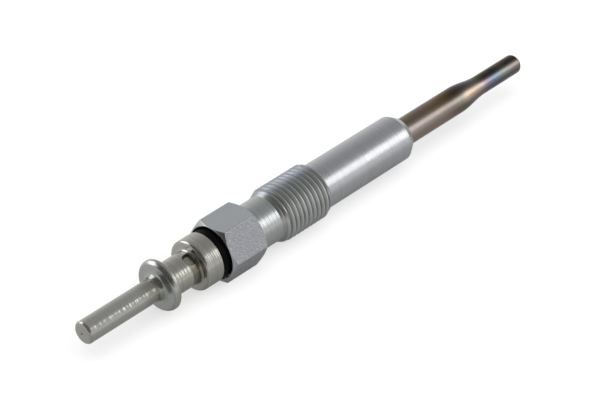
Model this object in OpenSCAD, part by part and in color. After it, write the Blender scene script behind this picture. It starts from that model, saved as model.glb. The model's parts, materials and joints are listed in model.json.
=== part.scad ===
// Sheathed diesel glow plug, lying on a flat of its hexagon with its axis along X.
// The terminal end points to -X and the glow tube to +X.
// The origin is on the axis, at the edge where the shank meets the sealing seat.

/* [Housing] */
// Width across the flats of the hexagon
hex_af = 10; // [9.8:0.1:13]
// Length of the hexagon
hex_l = 7.75; // [5:0.05:12]
// Slope of the chamfers on the hexagon's ends, in degrees from its faces
hex_chamfer = 35; // [15:1:40]
// Width of the flat ring left between the washer recess and the front chamfer
hex_rim = 0.2; // [0.1:0.05:0.3]
// Diameter of the neck behind the hexagon
neck_d = 8.4; // [7.5:0.05:9.2]
// Distance from the hexagon to the full thread
neck_l = 6.45; // [3:0.05:12]
// Fillet between the neck and the hexagon
neck_fillet = 0.5; // [0.2:0.05:0.7]
// Outer diameter of the thread
thread_d = 10; // [9.5:0.1:12]
// Length of the thread at its full diameter
thread_l = 9.05; // [6:0.05:20]
// Slope of the cone that leads from the neck up to the thread, in degrees from the axis
lead_slope = 25; // [20:1:45]
// Slope of the chamfer at the thread's end, in degrees from the axis
end_slope = 45; // [25:1:60]
// Diameter of the plain shank
shank_d = 8.35; // [7.5:0.05:9.2]
// Distance from the full thread to the edge of the sealing seat
shank_l = 21.25; // [10:0.05:40]
// Full angle of the sealing seat
seat_angle = 63; // [50:1:93]
// Diameter of the end face inside the sealing seat
face_d = 6.6; // [5.6:0.1:7.2]

/* [Bores] */
// Diameter of the washer recess in the hexagon
recess_d = 9.5; // [7:0.05:9.5]
// Depth of the washer recess
recess_depth = 2.15; // [1:0.05:3.5]
// Diameter of the pocket that holds the seal ring
pocket_d = 5.2; // [4.6:0.1:6]
// Depth of the pocket that holds the seal ring
pocket_depth = 2.6; // [1.8:0.1:4]
// Diameter of the bore that the stud runs through
stud_bore_d = 4.4; // [3.8:0.1:4.6]
// Clearance between pieces that are pressed or packed together
fit_gap = 0.02; // [0.01:0.01:0.04]

/* [Glow tube] */
// Outer diameter of the tube
tube_d = 5; // [4.6:0.1:5.4]
// Outer diameter of the drawn tip
tip_d = 3.6; // [3.2:0.1:4.2]
// Wall of the tube and its tip
tube_wall = 0.5; // [0.35:0.05:0.6]
// Distance from the sealing seat to the start of the taper
tube_reach = 16.3; // [8:0.1:30]
// Length of the taper
taper_l = 6.8; // [4:0.1:10]
// Distance from the sealing seat to the end of the tip
tip_reach = 33.2; // [31:0.1:60]
// Rounding of the tip's end
tip_round = 0.9; // [0.6:0.05:1.4]
// Length of tube held inside the housing, behind the sealing seat
tube_hold = 16; // [8:0.5:18]
// Length of the seal in the tube's mouth
tube_seal_l = 2.5; // [1:0.1:5]

/* [Heater core] */
// Diameter of the stud
stud_d = 3.2; // [2.8:0.1:3.6]
// Diameter of the stud inside the tube
stud_tail_d = 2.2; // [1.8:0.1:2.6]
// Distance from the tube's mouth to the stud's shoulder
stud_setback = 0.6; // [0.2:0.1:2]
// Length of the stud's tail ahead of the tube seal
stud_tail_l = 17; // [10:0.5:18]
// Diameter of the spigot that the regulating coil is wound on
spigot_d = 1.5; // [1.2:0.1:1.7]
// Length of the spigot
spigot_l = 3; // [2:0.5:5]
// Diameter of the coils' wire
wire_d = 0.36; // [0.26:0.02:0.4]
// Turns of the regulating coil
regulating_turns = 17; // [8:1:18]
// Pitch of the regulating coil
regulating_pitch = 0.9; // [0.7:0.05:1]
// Turns of the heating coil
heating_turns = 9; // [5:1:10]
// Pitch of the heating coil
heating_pitch = 0.85; // [0.7:0.05:1]
// Mean radius of the heating coil
heating_r = 0.8; // [0.6:0.05:0.85]
// Length of the heating coil's straight lead at the tip
tip_lead = 0.8; // [0.4:0.1:1.5]

/* [Insulator] */
// Length of washer that shows between the hexagon and the terminal nut
washer_rise = 1.5; // [0.8:0.05:4]
// Gap between the washer and the recess around it
washer_gap = 0.32; // [0.05:0.01:0.4]
// Edge rounding of the washer beside the terminal nut
washer_edge = 0.3; // [0.1:0.05:0.5]

/* [Terminal nut] */
// Diameter of the plug-in pin
pin_d = 4; // [3.6:0.1:4.5]
// Length of the pin, from its end to the flange
pin_l = 15.9; // [8:0.1:25]
// Radius of the pin's rounded end edge
pin_edge = 0.9; // [0.6:0.05:1.2]
// Radial width of the pin's rounded end edge
pin_edge_w = 0.42; // [0.3:0.02:0.55]
// Fillet between the pin and the flange
pin_fillet = 1; // [0.4:0.1:1.6]
// Diameter of the flange
flange_d = 9.05; // [8:0.05:11]
// Thickness of the flange
flange_t = 1.4; // [1.2:0.05:3]
// Radius of the crown on the flange's front edge
flange_crown = 1; // [0.8:0.05:1.1]
// Radial width of the crown on the flange's front edge
flange_crown_w = 0.45; // [0.3:0.05:0.5]
// Radius of the rounding on the flange's rear edge
flange_back = 0.35; // [0.1:0.05:0.4]
// Diameter of the nut's neck
nut_neck_d = 6; // [5.6:0.1:7]
// Length of the nut's neck, between the flange and the collar
nut_neck_l = 5.95; // [4:0.05:12]
// Fillet at both ends of the nut's neck
nut_fillet = 0.35; // [0.15:0.05:0.6]
// Diameter of the collar
collar_d = 9; // [8:0.05:10]
// Length of the collar
collar_l = 3.45; // [2:0.05:6]
// Radius of the crown on the collar's front edge
collar_crown = 0.5; // [0.45:0.05:0.8]
// Radial width of the crown on the collar's front edge
collar_crown_w = 0.4; // [0.2:0.05:0.45]
// Length of stud that the nut grips
stud_grip = 8.4; // [5:0.1:9]

/* [Staking pits] */
// Number of pits round the neck
pit_count = 3; // [2:1:6]
// Diameter of a pit at the neck's surface
pit_d = 2.4; // [1.6:0.1:2.8]
// Diameter of a pit at its floor
pit_floor_d = 2; // [1.2:0.1:2.4]
// Depth of a pit
pit_depth = 0.8; // [0.5:0.05:1]
// Distance from the collar to the middle of a pit
pit_set = 1; // [0.8:0.05:1.6]
// Width of the land left between the collar and the flat side of a pit
pit_land = 0.4; // [0.2:0.05:0.6]
// Angle of the first pit, measured from +Y towards +Z
pit_turn = 115; // [0:1:120]

/* [Hidden] */
$fn = 96;
// Facets of the smallest round shapes
small_fn = 48;

// How far cutting shapes reach past the faces that they cut
over = 1;
// Straight steps in one rounded edge
edge_steps = 8;
// Straight steps along the tube's taper
taper_steps = 14;
// Sides of a coil's wire and steps in one of its turns
wire_sides = 6;
turn_steps = 12;

hex_corner_d = hex_af / cos(30);
hex_face_d = recess_d + 2 * hex_rim;

// Stations along the axis, from the sealing seat to the terminal
thread_x1 = -shank_l;
thread_x0 = thread_x1 - thread_l;
hex_x1 = thread_x0 - neck_l;
hex_x0 = hex_x1 - hex_l;
collar_x1 = hex_x0 - washer_rise;
collar_x0 = collar_x1 - collar_l;
flange_x1 = collar_x0 - nut_neck_l;
flange_x0 = flange_x1 - flange_t;
pin_x0 = flange_x0 - pin_l;
face_x = cone_run(shank_d, face_d, seat_angle / 2);

// Stations of the bores and the pieces in them
recess_x1 = hex_x0 + recess_depth;
pocket_x1 = recess_x1 + pocket_depth;
ring_r = (pocket_d - stud_d) / 4 - fit_gap;
ring_x = pocket_x1 - fit_gap - ring_r;
stud_x0 = collar_x1 - stud_grip;
tube_x0 = -tube_hold;
tube_seal_x1 = tube_x0 + tube_seal_l;
stud_shoulder_x = tube_x0 - stud_setback;
tail_x1 = tube_seal_x1 + stud_tail_l;
spigot_x1 = tail_x1 + spigot_l;
taper_x1 = tube_reach + taper_l;

// Stations of the coils, from the tip backwards
tip_in_x = tip_reach - tube_wall;
heating_x1 = tip_in_x - 2 * fit_gap - tip_lead;
heating_x0 = heating_x1 - heating_turns * heating_pitch;
regulating_x0 = tail_x1 + wire_d / 2 + 2 * fit_gap;
regulating_x1 = regulating_x0 + regulating_turns * regulating_pitch;
regulating_r = (spigot_d + wire_d) / 2 + 2 * fit_gap;
joint_x = (heating_x0 + regulating_x1) / 2;

// Axial length of a cone between two diameters
function cone_run(d0, d1, slope) = abs(d0 - d1) / 2 / tan(slope);

// Points of an arc about (x, r) from angle a0 to a1
function arc(x, r, radius, a0, a1) = [
    for (i = [0:edge_steps])
        let (a = a0 + (a1 - a0) * i / edge_steps)
        [x + radius * cos(a), r + radius * sin(a)]
];

// Solid turned about the X axis from an outline of [x, r] points
module turned(outline) {
    rotate([0, 90, 0])
        rotate_extrude()
            polygon([for (p = outline) [p[1], p[0]]]);
}

// Round bar along the X axis
module bar(x0, x1, d) {
    translate([x0, 0, 0])
        rotate([0, 90, 0])
            cylinder(d = d, h = x1 - x0);
}

// Hexagon with both ends chamfered and flats facing up and down
module hexagon() {
    run = (hex_corner_d - hex_face_d) / 2 * tan(hex_chamfer);
    intersection() {
        translate([hex_x0, 0, 0])
            rotate([0, 90, 0])
                rotate([0, 0, 30])
                    cylinder(d = hex_corner_d, h = hex_l, $fn = 6);
        turned([
            [hex_x0, 0],
            [hex_x0, hex_face_d / 2],
            [hex_x0 + run, hex_corner_d / 2],
            [hex_x1 - run, hex_corner_d / 2],
            [hex_x1, hex_face_d / 2],
            [hex_x1, 0]
        ]);
    }
}

// Turned body from inside the hexagon to the end face
module body() {
    lead_run = cone_run(thread_d, neck_d, lead_slope);
    end_run = cone_run(thread_d, shank_d, end_slope);
    turned(concat(
        [[hex_x1 - over, 0], [hex_x1 - over, neck_d / 2 + neck_fillet]],
        arc(hex_x1 + neck_fillet, neck_d / 2 + neck_fillet, neck_fillet, 180, 270),
        [
            [thread_x0 - lead_run, neck_d / 2],
            [thread_x0, thread_d / 2],
            [thread_x1, thread_d / 2],
            [thread_x1 + end_run, shank_d / 2],
            [0, shank_d / 2],
            [face_x, face_d / 2],
            [face_x, 0]
        ]
    ));
}

module housing() {
    color([0.72, 0.74, 0.77])
        difference() {
            union() {
                hexagon();
                body();
            }
            bar(hex_x0 - over, recess_x1, recess_d);
            bar(recess_x1 - over, pocket_x1, pocket_d);
            bar(pocket_x1 - over, tube_x0 + over, stud_bore_d);
            bar(tube_x0, face_x + over, tube_d + 2 * fit_gap);
        }
}

// Radius of the tube's taper, easing in and out from the tube to the tip, less an inset
function taper_r(u, inset) =
    (tube_d + tip_d) / 4 + (tube_d - tip_d) / 4 * cos(180 * u) - inset;

// Outline of the tube's skin from its mouth to its closed tip, moved inwards by an inset
function tube_skin(x0, inset) =
    let (end_r = max(tip_round - inset, fit_gap))
    concat(
        [[x0, tube_d / 2 - inset]],
        [
            for (i = [0:taper_steps])
                let (u = i / taper_steps)
                [tube_reach + taper_l * u, taper_r(u, inset)]
        ],
        arc(tip_reach - inset - end_r, tip_d / 2 - inset - end_r, end_r, 90, 0)
    );

module glow_tube() {
    color([0.42, 0.36, 0.33])
        difference() {
            turned(concat([[tube_x0, 0]], tube_skin(tube_x0, 0), [[tip_reach, 0]]));
            turned(concat(
                [[tube_x0 - over, 0]],
                tube_skin(tube_x0 - over, tube_wall),
                [[tip_in_x, 0]]
            ));
        }
}

// Path of a coil: a front lead, whole turns running backwards, and a rear lead
function coil_path(x1, pitch, turns, r, front, rear) = concat(
    [front],
    [
        for (i = [0:turns * turn_steps])
            let (a = 360 * i / turn_steps)
            [x1 - pitch * i / turn_steps, r * cos(a), r * sin(a)]
    ],
    [rear]
);

function unit(v) = v / norm(v);

// Ring of points round one point of a path, square to the path
function ring(point, along, radius) =
    let (
        out = unit([0, point[1], point[2]]),
        n = unit(out - (out * along) * along),
        b = cross(along, n)
    )
    [
        for (k = [0:wire_sides - 1])
            let (a = 360 * k / wire_sides)
            point + radius * (cos(a) * n + sin(a) * b)
    ];

// Wire swept along a path
module wire(path, d) {
    last = len(path) - 1;
    points = [
        for (i = [0:last])
            each ring(
                path[i],
                unit(path[min(i + 1, last)] - path[max(i - 1, 0)]),
                d / 2
            )
    ];
    sides = [
        for (i = [0:last - 1])
            for (k = [0:wire_sides - 1])
                let (
                    a = i * wire_sides,
                    b = a + wire_sides,
                    m = (k + 1) % wire_sides
                )
                each [[a + k, b + k, b + m], [a + k, b + m, a + m]]
    ];
    first_cap = [for (k = [0:wire_sides - 1]) k];
    last_cap = [for (k = [wire_sides - 1:-1:0]) last * wire_sides + k];
    polyhedron(points, concat(sides, [first_cap, last_cap]));
}

// Wire of the heating coil, from its weld at the tip to the joint, with room round it
module heating_wire(room) {
    wire(
        coil_path(
            heating_x1, heating_pitch, heating_turns, heating_r,
            [heating_x1 + tip_lead + room, heating_r, 0],
            [joint_x + fit_gap - room, regulating_r, 0]
        ),
        wire_d + 2 * room
    );
}

// Wire of the regulating coil, from the joint to the turns on the spigot, with room round it
module regulating_wire(room) {
    wire(
        coil_path(
            regulating_x1, regulating_pitch, regulating_turns, regulating_r,
            [joint_x - fit_gap + room, regulating_r, 0],
            [regulating_x0, regulating_r, wire_d + room]
        ),
        wire_d + 2 * room
    );
}

module heating_coil() {
    color([0.62, 0.58, 0.55])
        heating_wire(0);
}

module regulating_coil() {
    color([0.66, 0.62, 0.5])
        regulating_wire(0);
}

// Packed powder that fills the tube round the stud's tail and the coils
module magnesia_fill() {
    inset = tube_wall + fit_gap;
    x0 = tube_seal_x1 + fit_gap;
    tail_r = stud_tail_d / 2 + fit_gap;
    spigot_r = spigot_d / 2 + fit_gap;
    color([0.9, 0.9, 0.86])
        difference() {
            turned(concat(
                [[x0, tail_r]],
                tube_skin(x0, inset),
                [
                    [tip_reach - inset, 0],
                    [spigot_x1 + fit_gap, 0],
                    [spigot_x1 + fit_gap, spigot_r],
                    [tail_x1 + fit_gap, spigot_r],
                    [tail_x1 + fit_gap, tail_r]
                ]
            ));
            heating_wire(fit_gap / 2);
            regulating_wire(fit_gap / 2);
        }
}

module tube_seal() {
    color([0.12, 0.12, 0.12])
        difference() {
            bar(tube_x0, tube_seal_x1, tube_d - 2 * tube_wall - 2 * fit_gap);
            bar(tube_x0 - over, tube_seal_x1 + over, stud_tail_d + 2 * fit_gap);
        }
}

module terminal_stud() {
    color([0.6, 0.6, 0.6]) {
        bar(stud_x0, stud_shoulder_x, stud_d);
        bar(stud_shoulder_x - over, tail_x1, stud_tail_d);
        bar(tail_x1 - over, spigot_x1, spigot_d);
    }
}

module seal_ring() {
    color([0.1, 0.1, 0.1])
        translate([ring_x, 0, 0])
            rotate([0, 90, 0])
                rotate_extrude()
                    translate([(pocket_d + stud_d) / 4, 0])
                        circle(r = ring_r, $fn = small_fn);
}

// Washer seated in the hexagon's recess, with a spigot that holds the seal ring down
module insulating_washer() {
    washer_r = recess_d / 2 - washer_gap;
    spigot_end = ring_x - ring_r - fit_gap;
    color([0.05, 0.05, 0.05])
        difference() {
            turned(concat(
                [[collar_x1, 0]],
                arc(collar_x1 + washer_edge, washer_r - washer_edge, washer_edge, 180, 90),
                [
                    [recess_x1, washer_r],
                    [recess_x1, pocket_d / 2 - fit_gap],
                    [spigot_end, pocket_d / 2 - fit_gap],
                    [spigot_end, 0]
                ]
            ));
            bar(collar_x1 - over, spigot_end + over, stud_d + 2 * fit_gap);
        }
}

// Pits punched into the neck beside the collar, flat towards it, which lock the nut on its stud
module staking_pits() {
    flare = (pit_d - pit_floor_d) / 2 / pit_depth;
    floor_r = nut_neck_d / 2 - pit_depth;
    intersection() {
        bar(flange_x1, collar_x0 - pit_land, collar_d);
        for (i = [0:pit_count - 1])
            translate([collar_x0 - pit_set, 0, 0])
                rotate([pit_turn + 360 * i / pit_count - 90, 0, 0])
                    translate([0, 0, floor_r])
                        cylinder(
                            d1 = pit_floor_d,
                            d2 = pit_d + 2 * flare * over,
                            h = pit_depth + over,
                            $fn = small_fn
                        );
    }
}

// Points of a crowned front edge that rises from the face at x to radius r over a radial width
function crown(x, r, radius, width) =
    let (turn = acos(1 - width / radius))
    arc(x + radius * sin(turn), r - radius, radius, 90 + turn, 90);

// Turned outline of the nut: pin, flange, neck and collar
module nut_blank() {
    pin_r = pin_d / 2;
    flange_r = flange_d / 2;
    neck_r = nut_neck_d / 2;
    turned(concat(
        [[pin_x0, 0]],
        crown(pin_x0, pin_r, pin_edge, pin_edge_w),
        arc(flange_x0 - pin_fillet, pin_r + pin_fillet, pin_fillet, 270, 360),
        crown(flange_x0, flange_r, flange_crown, flange_crown_w),
        arc(flange_x1 - flange_back, flange_r - flange_back, flange_back, 90, 0),
        arc(flange_x1 + nut_fillet, neck_r + nut_fillet, nut_fillet, 180, 270),
        arc(collar_x0 - nut_fillet, neck_r + nut_fillet, nut_fillet, 270, 360),
        crown(collar_x0, collar_d / 2, collar_crown, collar_crown_w),
        [[collar_x1, collar_d / 2], [collar_x1, 0]]
    ));
}

module terminal_nut() {
    color([0.62, 0.62, 0.57])
        difference() {
            nut_blank();
            staking_pits();
            bar(stud_x0 - fit_gap, collar_x1 + over, stud_d + 2 * fit_gap);
        }
}

housing();
glow_tube();
heating_coil();
regulating_coil();
magnesia_fill();
tube_seal();
terminal_stud();
seal_ring();
insulating_washer();
terminal_nut();
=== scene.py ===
"""Looks of a sheathed diesel glow plug that lies on a flat of its hexagon, axis along X."""

import json
import math

import bmesh
import bpy
from mathutils import Matrix, Quaternion, Vector


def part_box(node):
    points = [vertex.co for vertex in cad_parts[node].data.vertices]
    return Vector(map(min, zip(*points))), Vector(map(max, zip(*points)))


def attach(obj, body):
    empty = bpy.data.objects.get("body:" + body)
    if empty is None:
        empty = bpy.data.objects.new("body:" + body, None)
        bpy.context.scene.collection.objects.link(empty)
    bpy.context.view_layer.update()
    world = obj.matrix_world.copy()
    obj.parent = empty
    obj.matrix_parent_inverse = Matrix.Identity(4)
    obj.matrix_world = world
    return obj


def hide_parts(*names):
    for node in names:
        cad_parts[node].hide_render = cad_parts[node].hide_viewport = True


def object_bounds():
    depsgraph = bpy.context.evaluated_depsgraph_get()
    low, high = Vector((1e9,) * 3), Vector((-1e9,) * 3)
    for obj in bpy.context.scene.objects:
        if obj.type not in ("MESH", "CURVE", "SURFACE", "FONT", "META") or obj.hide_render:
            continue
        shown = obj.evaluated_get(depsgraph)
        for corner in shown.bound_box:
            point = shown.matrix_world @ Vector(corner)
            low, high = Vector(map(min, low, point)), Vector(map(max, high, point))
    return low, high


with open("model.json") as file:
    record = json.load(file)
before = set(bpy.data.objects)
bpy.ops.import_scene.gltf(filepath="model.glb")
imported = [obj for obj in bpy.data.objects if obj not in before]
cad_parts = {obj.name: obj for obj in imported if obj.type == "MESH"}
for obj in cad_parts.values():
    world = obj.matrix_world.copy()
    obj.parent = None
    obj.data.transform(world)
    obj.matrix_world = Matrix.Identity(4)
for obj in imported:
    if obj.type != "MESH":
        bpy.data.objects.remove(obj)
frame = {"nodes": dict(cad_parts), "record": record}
CAD_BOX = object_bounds()
MM = 0.001
FULL_TURN = 2 * math.pi
SIXTH_TURN = math.pi / 3

# Places and sizes read from the frame
MOUNTS = {mount["name"]: mount for mount in frame["record"]["mounts"]}
HOUSING_LOW, HOUSING_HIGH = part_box("housing")
NUT_LOW, NUT_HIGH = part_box("terminal_nut")
TUBE_LOW, TUBE_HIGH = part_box("glow_tube")
WASHER_LOW, WASHER_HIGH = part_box("insulating_washer")
STUD_LOW, STUD_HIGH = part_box("terminal_stud")

HEX_X0 = HOUSING_LOW.x
FACE_X = HOUSING_HIGH.x
HEX_FLAT_R = HOUSING_HIGH.z
THREAD_R = MOUNTS["thread"]["dims"]["r_mm"] * MM
THREAD_HALF = MOUNTS["thread"]["dims"]["length_mm"] * MM / 2
THREAD_X0 = MOUNTS["thread"]["pos_m"][0] - THREAD_HALF
THREAD_X1 = MOUNTS["thread"]["pos_m"][0] + THREAD_HALF
PIN_X0 = NUT_LOW.x
PIN_R = MOUNTS["terminal_pin"]["dims"]["r_mm"] * MM
COLLAR_X1 = NUT_HIGH.x
FLANGE_R = NUT_HIGH.z
TUBE_X0 = TUBE_LOW.x
TIP_X = TUBE_HIGH.x
TUBE_R = TUBE_HIGH.z
WASHER_R = WASHER_HIGH.z
STUD_R = STUD_HIGH.z
STUD_X0 = STUD_LOW.x
FLOOR_Z = CAD_BOX[0].z

# Sizes of the housing
HEX_L = 7.75 * MM
HEX_CHAMFER = math.radians(35)
HEX_EDGE_R = 0.22 * MM  # rounding of the six long edges
HEX_BREAK = 0.05 * MM  # rounding of the chamfers' edges
HEX_RIM = 0.2 * MM  # flat ring round the washer's recess
RECESS_R = 4.75 * MM
RECESS_DEPTH = 2.15 * MM
POCKET_R = 2.6 * MM  # pocket for the seal ring
POCKET_DEPTH = 2.6 * MM
STUD_BORE_R = 2.2 * MM
NECK_R = 4.2 * MM
NECK_FILLET = 0.5 * MM
LEAD_SLOPE = math.radians(25)  # cone that leads from the neck up to the thread
LEAD_FILLET = 0.3 * MM
END_SLOPE = math.radians(45)  # chamfer from the thread down to the shank
END_FILLET = 0.1 * MM
THREAD_PITCH = 1 * MM
THREAD_DEPTH = 0.6134 * THREAD_PITCH  # as on a metric outer thread
CREST_LEAD = 0.07 * MM
CUT_MARGIN = 0.02 * MM
SHANK_R = 4.175 * MM
FACE_R = 3.3 * MM  # small end of the sealing seat
FIT_GAP = 0.02 * MM  # between pieces that fit into one another

# Sizes of the glow tube and the insulating washer
TUBE_WALL = 0.5 * MM
TAPER_X0 = 16.3 * MM
TAPER_L = 6.8 * MM
TIP_R = 1.8 * MM
TIP_ROUND = 0.9 * MM
WASHER_EDGE = 0.3 * MM

# Sizes of the terminal nut
PIN_L = 15.9 * MM
PIN_DOME = 0.16 * MM
PIN_EDGE = 0.5 * MM
PIN_FILLET = 1 * MM
PIN_MARK_R = 0.28 * MM  # mark in the middle of the pin's end
PIN_MARK_DEPTH = 0.4 * MM
FLANGE_T = 1.4 * MM
FLANGE_CROWN = 1 * MM
FLANGE_CROWN_W = 0.45 * MM
FLANGE_BACK = 0.35 * MM
NUT_NECK_R = 3 * MM
NUT_FILLET = 0.35 * MM
COLLAR_R = 4.5 * MM
COLLAR_L = 3.45 * MM
COLLAR_CROWN = 0.5 * MM
COLLAR_CROWN_W = 0.4 * MM
PIT_COUNT = 3
PIT_TURN = math.radians(115)
PIT_R = 1.2 * MM
PIT_FLOOR_R = 1 * MM
PIT_DEPTH = 0.8 * MM
PIT_SET = 1 * MM  # from the collar to the middle of a pit
PIT_LAND = 0.4 * MM  # left whole between a pit and the collar
PIT_MARGIN = 0.1 * MM
# Painted reflection of the collar on the neck's side that faces -Y, with a darker spot in it
COLLAR_REFLECTION_L = 1.85 * MM  # neck beside the collar that carries a painted reflection of the collar
COLLAR_REFLECTION_GAP = 0.1 * MM
COLLAR_REFLECTION_SIDE = 0.55  # share of the neck's radius at which the stain starts
DARK_SPOT_SET = 0.35 * MM
DARK_SPOT_TURN = math.radians(189)
DARK_SPOT_R = 0.34 * MM

# Fineness of the meshes
ARC_STEPS = 4
CROWN_STEPS = 10
EDGE_STEPS = 3
TAPER_STEPS = 24
TIP_STEPS = 8
PIT_ROWS = 64
PIT_HALVINGS = 20
TURNED_COLUMNS = 128
HEX_COLUMNS = 240
NUT_COLUMNS = 288
BREAK = 0.06 * MM  # rounding of plain edges
SUPPORT = 0.03 * MM  # from an arc's end to the point that holds the line beside it
SAME_PLACE = 1e-8  # points closer than this are made one
HOUSING_SHARP = math.radians(40)  # edges that turn more than this stay sharp
TURNED_SHARP = math.radians(50)


# Outlines and meshes

def soften(corners):
    """Rounds the corners of an outline of (x, r, radius), with a support point beside each arc."""
    points = []
    for i, (x, r, radius) in enumerate(corners):
        here = Vector((x, r))
        if radius == 0:
            points.append(here)
            continue
        before = (Vector(corners[i - 1][:2]) - here).normalized()
        after = (Vector(corners[(i + 1) % len(corners)][:2]) - here).normalized()
        half = before.angle(after) / 2
        reach = radius / math.tan(half)
        centre = here + (before + after).normalized() * radius / math.sin(half)
        first = here + before * reach - centre
        last = here + after * reach - centre
        sweep = first.angle(last)
        points.append(centre + first + before * SUPPORT)
        for step in range(ARC_STEPS + 1):
            share = step / ARC_STEPS
            turn = math.sin((1 - share) * sweep) * first + math.sin(share * sweep) * last
            points.append(centre + turn / math.sin(sweep))
        points.append(centre + last + after * SUPPORT)
    return [(p.x, p.y) for p in points]


def crown(x, r, radius, width):
    """Corners of a crowned front edge that rises from the face at x to radius r over a width."""
    turn = math.acos(1 - width / radius)
    centre_x = x + radius * math.sin(turn)
    corners = []
    for i in range(CROWN_STEPS + 1):
        angle = turn * (1 - i / CROWN_STEPS)
        drop = radius * (1 - math.cos(angle))
        corners.append((centre_x - radius * math.sin(angle), r - drop, 0))
    corners[0] = (*corners[0][:2], BREAK)
    return corners


def even_angles(count):
    return [FULL_TURN * k / count for k in range(count)]


def place(x, r, angle):
    """Point at a radius and an angle about the X axis, counted from +Y towards +Z."""
    return (x, r * math.cos(angle), r * math.sin(angle))


def add_ring(bm, x, r, angles):
    """Ring of points about the X axis, or a single point on the axis."""
    if r == 0:
        return [bm.verts.new((x, 0, 0))]
    return [bm.verts.new(place(x, r, angle)) for angle in angles]


def bridge(bm, ring, other):
    """Faces between two rings, either of which may be a single point."""
    count = max(len(ring), len(other))
    for k in range(count):
        n = (k + 1) % count
        near = [ring[k % len(ring)], ring[n % len(ring)]]
        far = [other[n % len(other)], other[k % len(other)]]
        # A single point stands there twice, and is taken once
        bm.faces.new(list(dict.fromkeys(near + far)))


def skin(bm, rings):
    """Faces over a row of rings."""
    for ring, other in zip(rings, rings[1:]):
        bridge(bm, ring, other)


def finish_mesh(name, bm, sharp_angle):
    """Cleaned, smoothly shaded object made of a mesh, with the edges over an angle kept sharp."""
    bmesh.ops.remove_doubles(bm, verts=bm.verts, dist=SAME_PLACE)
    bmesh.ops.dissolve_degenerate(bm, dist=SAME_PLACE, edges=bm.edges)
    bmesh.ops.recalc_face_normals(bm, faces=bm.faces)
    mesh = bpy.data.meshes.new(name)
    bm.to_mesh(mesh)
    bm.free()
    mesh.shade_smooth()
    mesh.set_sharp_from_angle(angle=sharp_angle)
    piece = bpy.data.objects.new(name, mesh)
    bpy.context.scene.collection.objects.link(piece)
    return piece


def revolve(name, outline, closed):
    """Solid turned about the X axis from an outline of (x, r)."""
    bm = bmesh.new()
    angles = even_angles(TURNED_COLUMNS)
    rings = [add_ring(bm, x, r, angles) for x, r in outline]
    skin(bm, rings)
    if closed:
        bridge(bm, rings[-1], rings[0])
    return finish_mesh(name, bm, TURNED_SHARP)


def dress(piece, node, slot, *materials):
    """Puts materials on a piece that stands for a node, and lets it ride with the part."""
    for material in materials:
        piece.data.materials.append(material)
    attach(piece, "root")
    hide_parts(node)


def material_by_place(piece, bounds):
    """Gives each face the material whose stretch along X holds its middle."""
    for face in piece.data.polygons:
        face.material_index = sum(face.center.x > x for x in bounds)


# Housing

HEX_X1 = HEX_X0 + HEX_L
RECESS_X = HEX_X0 + RECESS_DEPTH
POCKET_X = RECESS_X + POCKET_DEPTH
LEAD_X = THREAD_X0 - (THREAD_R - NECK_R) / math.tan(LEAD_SLOPE)
END_X = THREAD_X1 + (THREAD_R - SHANK_R) / math.tan(END_SLOPE)

# The cut runs between the places where the blank is a margin thinner than the thread's root
CUT_R = THREAD_R - THREAD_DEPTH - CUT_MARGIN
CUT_X0 = THREAD_X0 - (THREAD_R - CUT_R) / math.tan(LEAD_SLOPE)
CUT_X1 = THREAD_X1 + (THREAD_R - CUT_R) / math.tan(END_SLOPE)

# Place of a crest on the side that faces +Y
CREST_X = THREAD_X0 - CREST_LEAD

# Thread form over one pitch: share of the pitch, share of the depth
THREAD_FORM = [
    (0.0, 0.0), (0.05, 0.0), (0.075, 0.035), (0.25, 0.53), (0.41, 0.97),
    (0.5, 1.0), (0.59, 0.97), (0.75, 0.53), (0.925, 0.035), (0.95, 0.0),
]

# Distance from the axis to the centre of a long edge's rounding, and half the angle it takes up
EDGE_REACH = (HEX_FLAT_R - HEX_EDGE_R) / math.cos(SIXTH_TURN / 2)
EDGE_TURN = math.atan2(HEX_EDGE_R / 2, EDGE_REACH + HEX_EDGE_R * math.cos(SIXTH_TURN / 2))

# A face belongs to a flat if the cosine between their normals is at least this
FLAT_FACING = 0.985


def hex_angles():
    """Even angles, with more of them over the hexagon's rounded edges."""
    angles = even_angles(HEX_COLUMNS)
    for corner in range(6):
        for step in range(1, EDGE_STEPS + 1):
            off = EDGE_TURN * step / EDGE_STEPS
            angles.append((SIXTH_TURN * corner - off) % FULL_TURN)
            angles.append((SIXTH_TURN * corner + off) % FULL_TURN)
    return sorted(angles)


def hex_radius(angle):
    """Radius of the hexagon at an angle, with its long edges slightly rounded."""
    off = abs((angle + SIXTH_TURN / 2) % SIXTH_TURN - SIXTH_TURN / 2)
    if off < EDGE_TURN:
        rise = math.sqrt(HEX_EDGE_R ** 2 - (EDGE_REACH * math.sin(off)) ** 2)
        return EDGE_REACH * math.cos(off) + rise
    return HEX_FLAT_R / math.cos(SIXTH_TURN / 2 - off)


def housing_head(angle):
    """Outline from the foot of the seal pocket, over the hexagon, to the start of the thread."""
    hex_r = hex_radius(angle)
    face_r = RECESS_R + HEX_RIM
    run = (hex_r - face_r) * math.tan(HEX_CHAMFER)
    edge = min(HEX_BREAK, run / 4)
    return soften([
        (POCKET_X, STUD_BORE_R, 0),
        (POCKET_X, POCKET_R, BREAK),
        (RECESS_X, POCKET_R, BREAK),
        (RECESS_X, RECESS_R, BREAK),
        (HEX_X0, RECESS_R, BREAK),
        (HEX_X0, face_r, edge),
        (HEX_X0 + run, hex_r, edge),
        (HEX_X1 - run, hex_r, edge),
        (HEX_X1, face_r, edge),
        (HEX_X1, NECK_R, NECK_FILLET),
        (LEAD_X, NECK_R, LEAD_FILLET),
        (CUT_X0, CUT_R, 0),
    ])


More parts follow.
